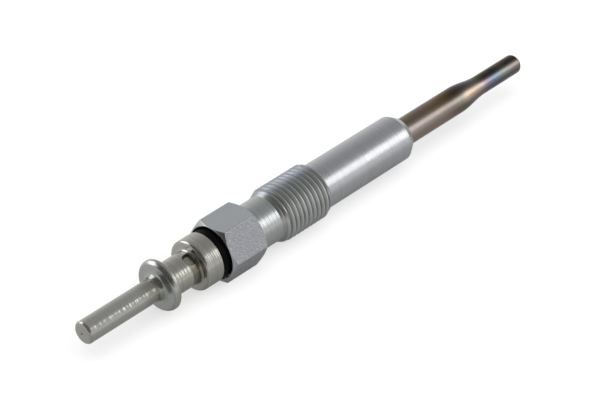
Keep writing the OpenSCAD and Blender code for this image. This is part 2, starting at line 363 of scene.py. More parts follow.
def housing_tail():
    """Outline from the end of the thread, over the shank and the seat, into the tube's bore."""
    bore_r = TUBE_R + FIT_GAP
    return soften([
        (CUT_X1, CUT_R, 0),
        (END_X, SHANK_R, END_FILLET),
        (0, SHANK_R, BREAK),
        (FACE_X, FACE_R, BREAK),
        (FACE_X, bore_r, BREAK),
        (TUBE_X0, bore_r, 0),
        (TUBE_X0, STUD_BORE_R, 0),
    ])


def blank_radius(x):
    """Radius of the turned blank that the thread is cut into."""
    if x < THREAD_X0:
        return THREAD_R - (THREAD_X0 - x) * math.tan(LEAD_SLOPE)
    if x > THREAD_X1:
        return THREAD_R - (x - THREAD_X1) * math.tan(END_SLOPE)
    return THREAD_R


def thread_rows(bm, angles):
    """Rows of points that follow the right-hand helix, held at the ends of the cut."""
    first = math.floor((CUT_X0 - CREST_X) / THREAD_PITCH) - 1
    last = math.ceil((CUT_X1 - CREST_X) / THREAD_PITCH) + 1
    rows = []
    for turn in range(first, last):
        for share, depth in THREAD_FORM:
            row = []
            for angle in angles:
                x = CREST_X + THREAD_PITCH * (turn + share + angle / FULL_TURN)
                x = min(max(x, CUT_X0), CUT_X1)
                r = min(THREAD_R - THREAD_DEPTH * depth, blank_radius(x))
                row.append(bm.verts.new(place(x, r, angle)))
            rows.append(row)
    return rows


def build_thread(bm, angles):
    """Faces of the thread, in which the end of each row goes on in the row one turn later."""
    rows = thread_rows(bm, angles)
    per_turn = len(THREAD_FORM)
    last = len(angles) - 1
    for j in range(len(rows) - 1):
        for k in range(last):
            bm.faces.new((rows[j][k], rows[j][k + 1], rows[j + 1][k + 1], rows[j + 1][k]))
        if j + 1 + per_turn < len(rows):
            on = rows[j + per_turn][0]
            on_next = rows[j + 1 + per_turn][0]
            bm.faces.new((rows[j][last], on, on_next, rows[j + 1][last]))


def build_housing():
    """Housing whose head follows the hexagon, with the thread cut between head and shank."""
    bm = bmesh.new()
    angles = hex_angles()
    heads = [housing_head(angle) for angle in angles]
    head_rings = [
        [bm.verts.new(place(x, r, angle)) for (x, r), angle in zip(row, angles)]
        for row in zip(*heads)
    ]
    tail_rings = [add_ring(bm, x, r, angles) for x, r in housing_tail()]
    skin(bm, head_rings)
    skin(bm, tail_rings)
    bridge(bm, tail_rings[-1], head_rings[0])
    build_thread(bm, angles)
    return finish_mesh("threaded_housing", bm, HOUSING_SHARP)


def turn_hex_ends(piece, flat, turned):
    """Gives all of the hexagon but its six flats the turned finish next to it."""
    for face in piece.data.polygons:
        across = math.hypot(face.normal.y, face.normal.z)
        off = math.atan2(face.normal.z, face.normal.y) % SIXTH_TURN - SIXTH_TURN / 2
        if face.material_index == flat and across * math.cos(off) < FLAT_FACING:
            face.material_index = turned


# Glow tube

def taper_radius(share):
    """Radius of the tube at a share of its taper, which runs like half a cosine wave."""
    return (TUBE_R + TIP_R) / 2 + (TUBE_R - TIP_R) / 2 * math.cos(math.pi * share)


def tube_skin(inset):
    """Outline of the tube's skin from its mouth to its tip, moved inwards by an inset."""
    end_r = TIP_ROUND - inset
    centre_x = TIP_X - inset - end_r
    centre_r = TIP_R - inset - end_r
    outline = [(TUBE_X0, TUBE_R - inset)]
    for i in range(TAPER_STEPS + 1):
        share = i / TAPER_STEPS
        outline.append((TAPER_X0 + TAPER_L * share, taper_radius(share) - inset))
    for i in range(TIP_STEPS + 1):
        turn = math.pi / 2 * i / TIP_STEPS
        outline.append((centre_x + end_r * math.sin(turn), centre_r + end_r * math.cos(turn)))
    outline.append((TIP_X - inset, 0))
    return outline


def build_tube():
    """Closed tube with a wall of even thickness."""
    outline = tube_skin(0)[::-1] + tube_skin(TUBE_WALL)
    return revolve("heat_tinted_tube", outline, closed=False)


# Insulating washer

def build_washer():
    """Washer with a spigot that reaches into the seal pocket."""
    hole_r = STUD_R + FIT_GAP
    spigot_r = POCKET_R - FIT_GAP
    outline = soften([
        (WASHER_LOW.x, hole_r, BREAK),
        (WASHER_LOW.x, WASHER_R, WASHER_EDGE),
        (RECESS_X, WASHER_R, BREAK),
        (RECESS_X, spigot_r, BREAK),
        (WASHER_HIGH.x, spigot_r, BREAK),
        (WASHER_HIGH.x, hole_r, BREAK),
    ])
    return revolve("black_washer", outline, closed=True)


# Terminal nut

FLANGE_X0 = PIN_X0 + PIN_L
FLANGE_X1 = FLANGE_X0 + FLANGE_T
COLLAR_X0 = COLLAR_X1 - COLLAR_L
PIT_X = COLLAR_X0 - PIT_SET
PIT_WALL_X = COLLAR_X0 - PIT_LAND
PIT_ZONE_X0 = PIT_X - PIT_R - PIT_MARGIN
COLLAR_REFLECTION_X0 = COLLAR_X0 - COLLAR_REFLECTION_L
COLLAR_REFLECTION_X1 = COLLAR_X0 - COLLAR_REFLECTION_GAP

# Shares of a radius inside which a face lies in the pin's mark or in a pit
IN_MARK = 0.9
IN_PIT = 0.985

# A face in a pit is floor if the cosine between its normal and the way out is above this
FLOOR_FACING = 0.8


def nut_outline():
    """Outline of the turned nut, from the middle of its end to the foot of the stud's hole."""
    hole_r = STUD_R + FIT_GAP
    hole_x = STUD_X0 - FIT_GAP
    front = soften([
        (PIN_X0 + PIN_MARK_DEPTH, 0, 0),
        (PIN_X0, PIN_MARK_R, BREAK / 2),
        (PIN_X0 + PIN_DOME / 4, PIN_R / 2, 0),
        (PIN_X0 + PIN_DOME, PIN_R, PIN_EDGE),
        (FLANGE_X0, PIN_R, PIN_FILLET),
        *crown(FLANGE_X0, FLANGE_R, FLANGE_CROWN, FLANGE_CROWN_W),
        (FLANGE_X1, FLANGE_R, FLANGE_BACK),
        (FLANGE_X1, NUT_NECK_R, NUT_FILLET),
        (PIT_ZONE_X0, NUT_NECK_R, 0),
    ])
    rear = soften([
        (PIT_ZONE_X0, NUT_NECK_R, 0),
        (COLLAR_X0, NUT_NECK_R, NUT_FILLET),
        *crown(COLLAR_X0, COLLAR_R, COLLAR_CROWN, COLLAR_CROWN_W),
        (COLLAR_X1, COLLAR_R, BREAK),
        (COLLAR_X1, hole_r, BREAK),
        (hole_x, hole_r, 0),
        (hole_x, 0, 0),
    ])[1:]
    length = PIT_WALL_X - PIT_ZONE_X0
    rows = range(1, PIT_ROWS + 1)
    pits = [(PIT_ZONE_X0 + length * i / PIT_ROWS, NUT_NECK_R) for i in rows]
    return front + pits + rear


def in_pit(x, r, off):
    """Whether a place lies in a staking pit whose axis is an angle off."""
    rise = r * math.cos(off) - (NUT_NECK_R - PIT_DEPTH)
    flare = (PIT_R - PIT_FLOOR_R) / PIT_DEPTH
    return rise > 0 and math.hypot(x - PIT_X, r * math.sin(off)) < PIT_FLOOR_R + rise * flare


def pitted_radius(x, r, angle):
    """Radius left at a place on the neck after the staking pits are punched into it."""
    share = FULL_TURN / PIT_COUNT
    off = (angle - PIT_TURN + share / 2) % share - share / 2
    if not in_pit(x, r, off):
        return r
    low = NUT_NECK_R - PIT_DEPTH
    high = r
    for _ in range(PIT_HALVINGS):
        middle = (low + high) / 2
        if in_pit(x, middle, off):
            high = middle
        else:
            low = middle
    return low


def build_nut():
    """Turned nut with the staking pits sunk into its neck."""
    bm = bmesh.new()
    angles = even_angles(NUT_COLUMNS)
    rings = []
    for x, r in nut_outline():
        ring = add_ring(bm, x, r, angles)
        if PIT_ZONE_X0 < x <= PIT_WALL_X:
            for vert, angle in zip(ring, angles):
                vert.co = place(x, pitted_radius(x, r, angle), angle)
        rings.append(ring)
    skin(bm, rings)
    return finish_mesh("staked_terminal_nut", bm, TURNED_SHARP)


def paint_collar_reflection(piece, collar_reflection, spot):
    """Gives the neck beside the collar a painted reflection of the collar with a darker spot, on
    the side that faces -Y.
    """
    middle = Vector(place(COLLAR_X0 - DARK_SPOT_SET, NUT_NECK_R, DARK_SPOT_TURN))
    for face in piece.data.polygons:
        beside = COLLAR_REFLECTION_X0 < face.center.x < COLLAR_REFLECTION_X1
        if beside and face.center.y < -COLLAR_REFLECTION_SIDE * NUT_NECK_R:
            near = (face.center - middle).length < DARK_SPOT_R
            face.material_index = spot if near else collar_reflection


def tone_pits(piece, wall, floor):
    """Gives the pits' walls one material, darkened as painted shade, and their floors and the mark
    in the pin another.
    """
    for face in piece.data.polygons:
        out = Vector((0, face.center.y, face.center.z))
        in_end = face.center.x < PIN_X0 + PIN_MARK_DEPTH
        if in_end and out.length < IN_MARK * PIN_MARK_R:
            face.material_index = floor
        in_zone = PIT_ZONE_X0 < face.center.x < COLLAR_X0
        if in_zone and out.length < IN_PIT * NUT_NECK_R:
            level = face.normal.dot(out.normalized()) > FLOOR_FACING
            face.material_index = floor if level else wall


# Shader nodes

# Range that most values of a noise lie in
NOISE_RANGE = (0.3, 0.7)

# Scale round the axis, per metre, of a noise that changes along the axis
ROUND_SCALE = 30


def shader(name, metallic):
    """Material with a principled shader, whose colour, roughness and normal come from nodes."""
    material = bpy.data.materials.new(name)
    material.use_nodes = True
    tree = material.node_tree
    bsdf = tree.nodes["Principled BSDF"]
    bsdf.inputs["Metallic"].default_value = metallic
    return material, tree, bsdf


def coordinates(tree, kind):
    """Object for a place on the part, Normal for a facing, Generated for a world's direction."""
    return tree.nodes.new("ShaderNodeTexCoord").outputs[kind]


def along(tree, axis):
    """Place along one axis of an object."""
    split = tree.nodes.new("ShaderNodeSeparateXYZ")
    tree.links.new(coordinates(tree, "Object"), split.inputs["Vector"])
    return split.outputs[axis]


def from_axis(tree):
    """Distance from the part's axis."""
    across = tree.nodes.new("ShaderNodeVectorMath")
    across.operation = "MULTIPLY"
    across.inputs[1].default_value = (0, 1, 1)
    tree.links.new(coordinates(tree, "Object"), across.inputs[0])
    length = tree.nodes.new("ShaderNodeVectorMath")
    length.operation = "LENGTH"
    tree.links.new(across.outputs["Vector"], length.inputs[0])
    return length.outputs["Value"]


def toward(tree, source, direction):
    """How far a place lies, or how closely a facing points, along a direction."""
    node = tree.nodes.new("ShaderNodeVectorMath")
    node.operation = "DOT_PRODUCT"
    node.inputs[1].default_value = Vector(direction).normalized()
    tree.links.new(source, node.inputs[0])
    return node.outputs["Value"]


def noise(tree, scale, detail=4, roughness=0.6):
    """Noise over the object's own place, with a scale per metre for each axis."""
    mapping = tree.nodes.new("ShaderNodeMapping")
    mapping.inputs["Scale"].default_value = scale
    texture = tree.nodes.new("ShaderNodeTexNoise")
    texture.inputs["Scale"].default_value = 1
    texture.inputs["Detail"].default_value = detail
    texture.inputs["Roughness"].default_value = roughness
    tree.links.new(coordinates(tree, "Object"), mapping.inputs["Vector"])
    tree.links.new(mapping.outputs["Vector"], texture.inputs["Vector"])
    return texture.outputs["Fac"]


def turned_noise(tree, spacing, detail=4):
    """Noise that changes along the axis every spacing, and hardly round it."""
    return noise(tree, (1 / spacing, ROUND_SCALE, ROUND_SCALE), detail)


def specks(tree, size):
    """Fine even grain."""
    return noise(tree, (1 / size,) * 3, detail=2, roughness=0.5)


def tool_marks(tree, pitch):
    """Even, slightly wavering lines round the axis, one every pitch."""
    texture = tree.nodes.new("ShaderNodeTexWave")
    texture.bands_direction = "X"
    # At a scale of 1 the bands are pi / 10 apart
    texture.inputs["Scale"].default_value = math.pi / 10 / pitch
    texture.inputs["Distortion"].default_value = 1.5
    texture.inputs["Detail"].default_value = 2
    texture.inputs["Detail Scale"].default_value = 0.6
    tree.links.new(coordinates(tree, "Object"), texture.inputs["Vector"])
    return texture.outputs["Fac"]


def ramp(tree, source, stops):
    """Colour ramp with stops of (place, colour)."""
    node = tree.nodes.new("ShaderNodeValToRGB")
    elements = node.color_ramp.elements
    while len(elements) < len(stops):
        elements.new(0.5)
    for element, (spot, color) in zip(elements, stops):
        element.position = spot
        element.color = (*color, 1)
    tree.links.new(source, node.inputs["Fac"])
    return node.outputs["Color"]


def two_tone(tree, source, dark, light, reach=NOISE_RANGE):
    """Colour that goes from dark to light over a reach of a noise."""
    return ramp(tree, source, [(reach[0], dark), (reach[1], light)])


def span(tree, source, from_range, to_range, smooth=False):
    """Source mapped from one range to another."""
    node = tree.nodes.new("ShaderNodeMapRange")
    if smooth:
        node.interpolation_type = "SMOOTHSTEP"
    sockets = ("From Min", "From Max", "To Min", "To Max")
    for name, value in zip(sockets, (*from_range, *to_range)):
        node.inputs[name].default_value = value
    tree.links.new(source, node.inputs["Value"])
    return node.outputs["Result"]


def fade(tree, source, start, end):
    """0 up to the start, 1 from the end on, and a smooth rise between them."""
    return span(tree, source, (start, end), (0, 1), smooth=True)


def blend(tree, factor, first, second):
    """Colour that goes from the first to the second with a factor."""
    node = tree.nodes.new("ShaderNodeMix")
    node.data_type = "RGBA"
    tree.links.new(factor, node.inputs["Factor"])
    for socket, color in (("A", first), ("B", second)):
        if isinstance(color, tuple):
            node.inputs[socket].default_value = (*color, 1)
        else:
            tree.links.new(color, node.inputs[socket])
    return node.outputs["Result"]


def product(tree, first, second):
    node = tree.nodes.new("ShaderNodeMath")
    node.operation = "MULTIPLY"
    tree.links.new(first, node.inputs[0])
    tree.links.new(second, node.inputs[1])
    return node.outputs["Value"]


def set_color(tree, bsdf, color):
    tree.links.new(color, bsdf.inputs["Base Color"])


def set_roughness(tree, bsdf, cloud, levels):
    """Roughness that drifts between two levels with a noise."""
    tree.links.new(span(tree, cloud, NOISE_RANGE, levels), bsdf.inputs["Roughness"])


def set_bumps(tree, bsdf, *heights):
    """Bumps of (height, distance) laid over one another on the shader's normal."""
    normal = None
    for height, distance in heights:
        node = tree.nodes.new("ShaderNodeBump")
        node.inputs["Distance"].default_value = distance
        tree.links.new(height, node.inputs["Height"])
        if normal is not None:
            tree.links.new(normal, node.inputs["Normal"])
        normal = node.outputs["Normal"]
    tree.links.new(normal, bsdf.inputs["Normal"])


# Materials: a SIDE is the direction that a painted shade or reflection lies towards, and an EDGE
# is where it comes in

# Scales of clouds and grain, per metre
TURNED_CLOUD = (800, 120, 120)
PLATED_CLOUD = (500, 500, 500)
TUBE_CLOUD = (400, 400, 400)
MOULDED_GRAIN = (3000, 3000, 3000)

WAVE_EDGE = (0.75, 0.98)  # shares of the turned piece's radius

# Thread
THREAD_ROUGHNESS = (0.28, 0.38)
THREAD_LINES = (0.25 * MM, 0.006 * MM)  # spacing and depth
CREST_TONES = ((0.46, 0.475, 0.465), (0.58, 0.60, 0.585))
# Painted shade on the thread's upper side: darker, bluer tones, as under a cool light from above
UPPER_SHADE_TONES = ((0.27, 0.287, 0.32), (0.36, 0.38, 0.425))
UPPER_SHADE_SIDE = (0, 0.34, 0.94)
UPPER_SHADE_EDGE = (0.7, 1)  # shares of the thread's radius
# Painted shade in the thread's roots: the colour darkens from the crests down into the roots
ROOT_SHADE_COLOR = (0.2, 0.21, 0.2)
ROOT_SHADE_LEVEL = 0.58
ROOT_SHADE_DEPTHS = (0.55 * MM, 0.15 * MM)
# Where the thread starts, on the side that faces up and forward: grime with a painted dark
# reflection
DIRT_AND_REFLECTION_COLOR = (0.2, 0.19, 0.165)
DIRT_AND_REFLECTION_LEVEL = 0.4
DIRT_AND_REFLECTION_SIDE = (0, -0.656, 0.755)
DIRT_AND_REFLECTION_EDGE = (0.85, 1.05)  # shares of the neck's radius
DIRT_AND_REFLECTION_REACH = (-0.5 * MM, 0.6 * MM)  # from the thread's start

# Hexagon
HEX_ROUGHNESS = (0.26, 0.36)
SPECK_SIZE = 0.3 * MM
SPECK_DEPTH = 0.1 * MM
# Sides: the grain's bright specks are painted glints
SIDE_GRAIN_GLINT_STOPS = [
    (0.35, (0.225, 0.23, 0.248)),
    (0.64, (0.272, 0.278, 0.298)),
    (0.72, (0.46, 0.465, 0.49)),
]
# Top: plain tones, a little lighter than the sides', as painted light
TOP_TONES = ((0.258, 0.27, 0.283), (0.28, 0.293, 0.307))
TOP_FACING = (0.6, 0.9)
TOP_RELIEF = 0.3

# Glow tube, with heat tints by the share of its way from the housing to the tip, and copies of
# them darkened as painted shade for its upper and lower sides
TUBE_ROUGHNESS = (0.27, 0.36)
TUBE_LINES = (0.3 * MM, 0.008 * MM)  # spacing and depth
# Painted shade: darker tints on the tube's upper side and on its lower side
TOP_SHADE_SIDE = (0, 0.087, 0.996)
TOP_SHADE_EDGE = (0.55, 0.95)
SHADE_SIDE = (0, -0.5, -0.866)
SHADE_EDGE = (0.1, 0.6)
FRONT_TINTS = [
    (0.0, (0.32, 0.285, 0.27)),
    (0.27, (0.29, 0.245, 0.22)),
    (0.38, (0.25, 0.215, 0.19)),
    (0.45, (0.27, 0.255, 0.21)),
    (0.50, (0.44, 0.37, 0.28)),
    (0.58, (0.47, 0.36, 0.265)),
    (0.65, (0.40, 0.32, 0.32)),
    (0.70, (0.26, 0.22, 0.27)),
    (0.75, (0.175, 0.195, 0.29)),
    (0.79, (0.18, 0.235, 0.30)),
    (0.84, (0.22, 0.235, 0.22)),
    (0.90, (0.24, 0.215, 0.195)),
    (1.0, (0.22, 0.19, 0.185)),
]
# Heat tints darkened as painted shade on the upper side
TOP_SHADE_TINTS = [
    (0.0, (0.20, 0.165, 0.13)),
    (0.27, (0.19, 0.135, 0.076)),
    (0.37, (0.13, 0.08, 0.03)),
    (0.43, (0.068, 0.04, 0.022)),
    (0.52, (0.068, 0.063, 0.066)),
    (0.62, (0.115, 0.10, 0.075)),
    (0.70, (0.055, 0.042, 0.026)),
    (0.78, (0.03, 0.03, 0.022)),
    (0.84, (0.065, 0.06, 0.035)),
    (0.90, (0.038, 0.032, 0.022)),
    (1.0, (0.045, 0.033, 0.028)),
]
# Heat tints darkened and browned as painted shade on the lower side
SHADE_TINTS = [
    (0.0, (0.34, 0.28, 0.25)),
    (0.30, (0.32, 0.24, 0.20)),
    (0.42, (0.20, 0.14, 0.11)),
    (0.50, (0.16, 0.135, 0.14)),
    (0.60, (0.22, 0.19, 0.19)),
    (0.72, (0.15, 0.14, 0.18)),
    (0.80, (0.11, 0.13, 0.16)),
    (1.0, (0.15, 0.14, 0.135)),
]

# Pits
GRAIN_REACH = (0.35, 0.65)

# Moulded and pressed materials
MOULDED_REACH = (0.35, 0.7)
MOULDED_PALER = 1.25
MOULDED_DEPTH = 0.003 * MM


def turned_metal(
        name, dark, light, metallic, roughness, wave, feed, wave_side=None, marks=None, dirt_and_shade=None):
    """Turned metal: long waves and fine feed lines, each of (spacing, depth), round the axis.

    With wave_side, a (direction, radius), the waves show only on that side.
    With marks, a (pitch, depth), even tool marks lie over them.
    With dirt, a (colour, start, end) of grime and painted shade, a colour comes in along X between
    two places.
    """
    material, tree, bsdf = shader(name, metallic)
    wave_spacing, wave_depth = wave
    feed_spacing, feed_depth = feed
    waves = turned_noise(tree, wave_spacing, detail=2)
    lines = turned_noise(tree, feed_spacing)
    if wave_side:
        # Waves about zero height, which leave the surface level where they fade out
        direction, radius = wave_side
        side = toward(tree, coordinates(tree, "Object"), direction)
        shown = fade(tree, side, *[share * radius for share in WAVE_EDGE])
        waves = product(tree, span(tree, waves, (0, 1), (-0.5, 0.5)), shown)
    color = two_tone(tree, lines, dark, light)
    if dirt_and_shade:
        tint, start, end = dirt_and_shade
        color = blend(tree, fade(tree, along(tree, "X"), start, end), color, tint)
    heights = [(waves, wave_depth), (lines, feed_depth)]
    if marks:
        pitch, depth = marks
        heights.append((tool_marks(tree, pitch), depth))
    set_color(tree, bsdf, color)
    set_roughness(tree, bsdf, noise(tree, TURNED_CLOUD, detail=3), roughness)
    set_bumps(tree, bsdf, *heights)
    return material


def thread_metal():
    """Plated thread: painted shade in its roots, painted shade with a cool cast on its upper side,
    and grime with a painted dark reflection where it starts.
    """
    material, tree, bsdf = shader("zinc_thread", metallic=0.82)
    line_spacing, line_depth = THREAD_LINES
    lines = turned_noise(tree, line_spacing)
    on_part = coordinates(tree, "Object")

    # Roots darkened as painted shade
    root_shade_edge = [THREAD_R - depth for depth in ROOT_SHADE_DEPTHS]
    root = span(tree, from_axis(tree), root_shade_edge, (ROOT_SHADE_LEVEL, 0), smooth=True)
    front = blend(tree, root, two_tone(tree, lines, *CREST_TONES), ROOT_SHADE_COLOR)

    # Upper side darkened and made bluer as painted shade
    upper_shade_edge = [share * THREAD_R for share in UPPER_SHADE_EDGE]
    upper = fade(tree, toward(tree, on_part, UPPER_SHADE_SIDE), *upper_shade_edge)
    plating_with_shade = blend(tree, upper, front, two_tone(tree, lines, *UPPER_SHADE_TONES))

    # Grime and a painted dark reflection where the thread starts
    dirt_and_reflection_edge = [share * NECK_R for share in DIRT_AND_REFLECTION_EDGE]
    facing = toward(tree, on_part, DIRT_AND_REFLECTION_SIDE)
    held = span(tree, facing, dirt_and_reflection_edge, (0, DIRT_AND_REFLECTION_LEVEL), smooth=True)
    dirt_and_reflection = blend(tree, held, plating_with_shade, DIRT_AND_REFLECTION_COLOR)
    ends = [THREAD_X0 + reach for reach in DIRT_AND_REFLECTION_REACH]
    start = span(tree, along(tree, "X"), ends, (1, 0))

    set_color(tree, bsdf, blend(tree, start, plating_with_shade, dirt_and_reflection))
    set_roughness(tree, bsdf, noise(tree, TURNED_CLOUD, detail=3), THREAD_ROUGHNESS)
    set_bumps(tree, bsdf, (lines, line_depth))
    return material


def hexagon_metal():
    """Plated flats, plain and a little lighter on top as painted light, with a grain whose bright
    specks on the sides are painted glints.
    """
    material, tree, bsdf = shader("zinc_hexagon", metallic=0.2)
    up = toward(tree, coordinates(tree, "Normal"), (0, 0, 1))
    grain = specks(tree, SPECK_SIZE)
    side = ramp(tree, grain, SIDE_GRAIN_GLINT_STOPS)
    top = two_tone(tree, grain, *TOP_TONES)
    relief = product(tree, grain, span(tree, up, TOP_FACING, (1, TOP_RELIEF)))
    set_color(tree, bsdf, blend(tree, span(tree, up, TOP_FACING, (0, 1)), side, top))
    set_roughness(tree, bsdf, noise(tree, PLATED_CLOUD), HEX_ROUGHNESS)
    set_bumps(tree, bsdf, (relief, SPECK_DEPTH))
    return material


def grained_metal(name, dark, light, metallic, roughness, grain):
    """Plated metal with a fine sparkling grain of (size, depth)."""
    material, tree, bsdf = shader(name, metallic)
    size, depth = grain
    speck = specks(tree, size)
    set_color(tree, bsdf, two_tone(tree, speck, dark, light, GRAIN_REACH))
    set_roughness(tree, bsdf, noise(tree, PLATED_CLOUD), roughness)
    set_bumps(tree, bsdf, (speck, depth))
    return material


def heat_tint():
    """Oxidised tube that runs through the heat tints towards its tip, with painted shade on its
    upper and lower sides.
    """
    material, tree, bsdf = shader("heat_tinted_alloy", metallic=1)
    line_spacing, line_depth = TUBE_LINES
    share = span(tree, along(tree, "X"), (FACE_X, TIP_X), (0, 1))
    facing = coordinates(tree, "Normal")
    top_shade = fade(tree, toward(tree, facing, TOP_SHADE_SIDE), *TOP_SHADE_EDGE)
    shade = fade(tree, toward(tree, facing, SHADE_SIDE), *SHADE_EDGE)
    front_and_lower_shade = blend(tree, shade, ramp(tree, share, FRONT_TINTS), ramp(tree, share, SHADE_TINTS))
    set_color(tree, bsdf, blend(tree, top_shade, front_and_lower_shade, ramp(tree, share, TOP_SHADE_TINTS)))
    set_roughness(tree, bsdf, noise(tree, TUBE_CLOUD), TUBE_ROUGHNESS)
    set_bumps(tree, bsdf, (turned_noise(tree, line_spacing), line_depth))
    return material


def moulded(name, color, roughness, shine):
    """Dull moulded or pressed material with a faint grain."""
    material, tree, bsdf = shader(name, metallic=0)
    bsdf.inputs["Specular IOR Level"].default_value = shine
    grain = noise(tree, MOULDED_GRAIN)
    paler = tuple(min(1, c * MOULDED_PALER) for c in color)
    set_color(tree, bsdf, two_tone(tree, grain, color, paler, MOULDED_REACH))
    set_roughness(tree, bsdf, grain, roughness)
    set_bumps(tree, bsdf, (grain, MOULDED_DEPTH))
    return material


# Pieces

zinc_flats = hexagon_metal()
zinc_neck = turned_metal(
    "zinc_neck", dark=(0.44, 0.455, 0.455), light=(0.54, 0.555, 0.555), metallic=1,
    roughness=(0.24, 0.3), wave=(1.1 * MM, 0.03 * MM), feed=(0.35 * MM, 0.01 * MM),
    marks=(0.8 * MM, 0.004 * MM))
zinc_thread = thread_metal()
zinc_turned = turned_metal(
    "zinc_turned", dark=(0.45, 0.46, 0.475), light=(0.55, 0.56, 0.58), metallic=1,
    roughness=(0.26, 0.32), wave=(1.6 * MM, 0.02 * MM), feed=(0.3 * MM, 0.018 * MM))

housing = build_housing()
housing_finishes = [zinc_flats, zinc_neck, zinc_thread, zinc_turned]
dress(housing, "housing", "plated_steel", *housing_finishes)
material_by_place(housing, (HEX_X1, LEAD_X, END_X))
neck_index = housing_finishes.index(zinc_neck)
turn_hex_ends(housing, flat=housing_finishes.index(zinc_flats), turned=neck_index)

tube = build_tube()
dress(tube, "glow_tube", "heat_tinted_alloy", heat_tint())

washer = build_washer()
black_moulding = moulded("black_moulding", (0.002, 0.002, 0.002), (0.4, 0.5), shine=0.04)
dress(washer, "insulating_washer", "black_insulator", black_moulding)

nickel_end = turned_metal(
    "nickel_end", dark=(0.36, 0.353, 0.315), light=(0.415, 0.408, 0.368), metallic=0.8,
    roughness=(0.17, 0.24), wave=(1.3 * MM, 0.01 * MM), feed=(0.4 * MM, 0.003 * MM))
# The pin darkens towards the flange: grime, with painted shade and a painted reflection of the
# flange's dark rim
nickel_pin = turned_metal(
    "nickel_pin", dark=(0.37, 0.37, 0.348), light=(0.41, 0.41, 0.386), metallic=0.8,
    roughness=(0.15, 0.21), wave=(1.3 * MM, 0.1 * MM), feed=(0.4 * MM, 0.003 * MM),
    wave_side=((0, -0.819, 0.574), PIN_R),
    dirt_and_shade=((0.295, 0.29, 0.255), FLANGE_X0 - 5 * MM, FLANGE_X0 - 2.2 * MM))
nickel_flange = turned_metal(
    "nickel_flange", dark=(0.37, 0.382, 0.368), light=(0.46, 0.475, 0.458), metallic=0.95,
    roughness=(0.22, 0.3), wave=(1.4 * MM, 0.03 * MM), feed=(0.5 * MM, 0.01 * MM))
nickel_turned = turned_metal(
    "nickel_turned", dark=(0.36, 0.355, 0.315), light=(0.48, 0.475, 0.425), metallic=0.92,
    roughness=(0.19, 0.26), wave=(1.4 * MM, 0.03 * MM), feed=(0.5 * MM, 0.02 * MM),
    marks=(0.6 * MM, 0.008 * MM))
nickel_collar = turned_metal(
    "nickel_collar", dark=(0.36, 0.355, 0.32), light=(0.48, 0.475, 0.43), metallic=0.92,
    roughness=(0.19, 0.26), wave=(1.4 * MM, 0.03 * MM), feed=(0.5 * MM, 0.015 * MM),
    marks=(0.45 * MM, 0.005 * MM))
# Dark, brown tones of the painted reflection of the collar on the neck
nickel_foot = turned_metal(
    "nickel_foot", dark=(0.17, 0.16, 0.125), light=(0.25, 0.235, 0.185), metallic=0.92,
    roughness=(0.19, 0.26), wave=(1.4 * MM, 0.03 * MM), feed=(0.5 * MM, 0.02 * MM))
# Pit walls darkened as painted shade in the hollows
pit_walls = grained_metal(
    "pit_walls", dark=(0.13, 0.13, 0.11), light=(0.2, 0.195, 0.17), metallic=1,
    roughness=(0.35, 0.45), grain=(0.3 * MM, 0.02 * MM))
pit_floors = grained_metal(
    "pit_floors", dark=(0.28, 0.275, 0.235), light=(0.37, 0.36, 0.31), metallic=0.6,
    roughness=(0.4, 0.5), grain=(0.3 * MM, 0.03 * MM))

nut = build_nut()
nut_finishes = [
    nickel_end, nickel_pin, nickel_flange, nickel_turned, nickel_collar,
    nickel_foot, pit_walls, pit_floors,
]
dress(nut, "terminal_nut", "terminal_steel", *nut_finishes)
pin_end = PIN_X0 + PIN_EDGE
flange_start = FLANGE_X0 - PIN_FILLET / 3
flange_rim = FLANGE_X0 + FLANGE_CROWN_W
collar_start = COLLAR_X0 - BREAK
material_by_place(nut, (pin_end, flange_start, flange_rim, collar_start))
wall_index = nut_finishes.index(pit_walls)
paint_collar_reflection(nut, collar_reflection=nut_finishes.index(nickel_foot), spot=wall_index)
tone_pits(nut, wall=wall_index, floor=nut_finishes.index(pit_floors))

coil_wire = turned_metal(
    "coil_wire", dark=(0.40, 0.36, 0.33), light=(0.56, 0.52, 0.48), metallic=1,
    roughness=(0.35, 0.5), wave=(1 * MM, 0.01 * MM), feed=(0.1 * MM, 0.002 * MM))
stud_steel = turned_metal(
    "stud_steel", dark=(0.42, 0.42, 0.42), light=(0.55, 0.55, 0.55), metallic=1,
    roughness=(0.3, 0.42), wave=(1 * MM, 0.01 * MM), feed=(0.2 * MM, 0.003 * MM))
magnesia = moulded("packed_magnesia", (0.72, 0.71, 0.66), (0.85, 0.95), shine=0.3)
seal_rubber = moulded("seal_rubber", (0.02, 0.02, 0.02), (0.5, 0.65), shine=0.4)
INNER_MATERIALS = {
    "heating_coil": coil_wire,
    "regulating_coil": coil_wire,
    "magnesia_fill": magnesia,
    "tube_seal": seal_rubber,
    "seal_ring": seal_rubber,
    "terminal_stud": stud_steel,
}
for node, material in INNER_MATERIALS.items():
    frame["nodes"][node].data.materials.clear()
    frame["nodes"][node].data.materials.append(material)


# Stage

# Floor as the camera sees it, and as it is for all other rays
FLOOR_SIZE = 4
FLOOR_SEEN = (0.98, 0.98, 0.98)
FLOOR_UNSEEN = (0.36, 0.36, 0.36)

# Share of plain white in the floor, for mirrored rays by the place along Y; its dip near the
# part's front is a painted shadow
FLOOR_GLOW_SEEN = 0.6
FLOOR_GLOW_MIRRORED = [
    (-50 * MM, 0.75),
    (-9 * MM, 0.05),
    (-3 * MM, 0.05),
    (0, 0.45),
    (20 * MM, 0.6),
]

# Light on matte surfaces, strongest from one side
FILL_FROM = (0.05, -0.4, 0.91)
FILL_REACH = (0.2, 1)
FILL_LEVELS = (0.25, 1.9)

